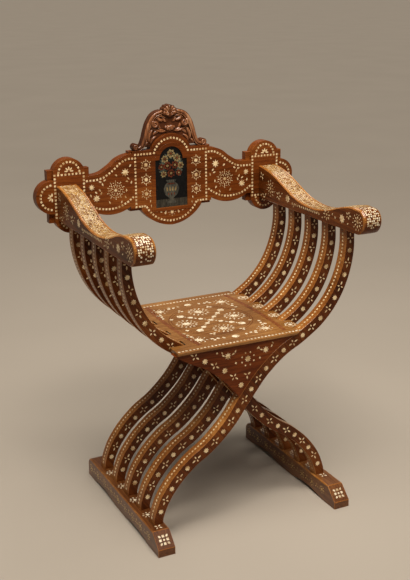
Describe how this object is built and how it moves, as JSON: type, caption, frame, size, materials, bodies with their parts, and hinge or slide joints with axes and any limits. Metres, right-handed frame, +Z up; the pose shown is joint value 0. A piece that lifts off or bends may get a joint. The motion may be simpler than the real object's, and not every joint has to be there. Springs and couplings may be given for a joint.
{
  "type": "savonarola chair",
  "caption": "Folding savonarola armchair in walnut with bone inlay: S-curved slats crossing on a rod, seat board, scrolled arms and a shaped back board with crest.",
  "frame": {"origin": "on the floor, under the middle of the chair", "axes": "+X to the right of someone facing the chair, +Y from the front to the back, +Z up"},
  "size_m": [0.7268, 0.524, 0.975],
  "materials": {
    "frame_walnut": "dark polished walnut inlaid with bone",
    "arm_walnut": "worn glossy walnut with dense bone mosaic",
    "seat_walnut": "golden-brown shellac polish with bone rosettes",
    "apron_walnut": "red-brown polished walnut with scattered bone stars",
    "back_walnut": "dark polished walnut with bone borders and flowers",
    "painted_panel": "dark varnished panel with a plain painted ornament",
    "fillet_walnut": "plain walnut frame round the panel",
    "dowel_walnut": "plain turned walnut",
    "iron_rod": "dark wrought rod"
  },
  "bodies": {
    "left_frame": {"left_slat_1": "frame_walnut", "left_slat_2": "frame_walnut", "left_slat_3": "frame_walnut", "left_slat_4": "frame_walnut", "left_slat_5": "frame_walnut", "left_arm": "arm_walnut", "right_foot_rail": "frame_walnut", "seat_hinge_rod": "iron_rod", "back_pivot_pin": "dowel_walnut", "left_arm_pegs": "dowel_walnut", "right_rail_pegs": "dowel_walnut"},
    "right_frame": {"right_slat_1": "frame_walnut", "right_slat_2": "frame_walnut", "right_slat_3": "frame_walnut", "right_slat_4": "frame_walnut", "right_slat_5": "frame_walnut", "right_arm": "arm_walnut", "left_foot_rail": "frame_walnut", "front_apron": "apron_walnut", "pivot_rod": "dowel_walnut", "pivot_spacers": "dowel_walnut", "pivot_cap": "dowel_walnut", "seat_rest_rod": "iron_rod", "right_arm_pegs": "dowel_walnut", "left_rail_pegs": "dowel_walnut"},
    "seat": {"seat_board": "seat_walnut"},
    "back": {"back_board": "back_walnut", "picture_panel": "painted_panel", "panel_fillet": "fillet_walnut", "crest": "back_walnut", "crest_dowels": "dowel_walnut", "back_catch_pin": "dowel_walnut"}
  },
  "joints": [
    {"name": "fold", "type": "hinge", "parent": "left_frame", "child": "right_frame", "pos_m": [0, 0, 0.334], "axis": [0, -1, 0], "range_deg": [0, 48]},
    {"name": "seat_lift", "type": "hinge", "parent": "left_frame", "child": "seat", "pos_m": [-0.15335, 0, 0.47], "axis": [0, -1, 0], "range_deg": [0, 96]},
    {"name": "back_swing", "type": "hinge", "parent": "left_frame", "child": "back", "pos_m": [-0.2765, 0.24, 0.768], "axis": [0, -1, 0], "range_deg": [0, 86.4]}
  ],
  "couplings": [
    {"joint": "seat_lift", "follows": "fold", "ratio": 2},
    {"joint": "back_swing", "follows": "fold", "ratio": 1.8}
  ]
}
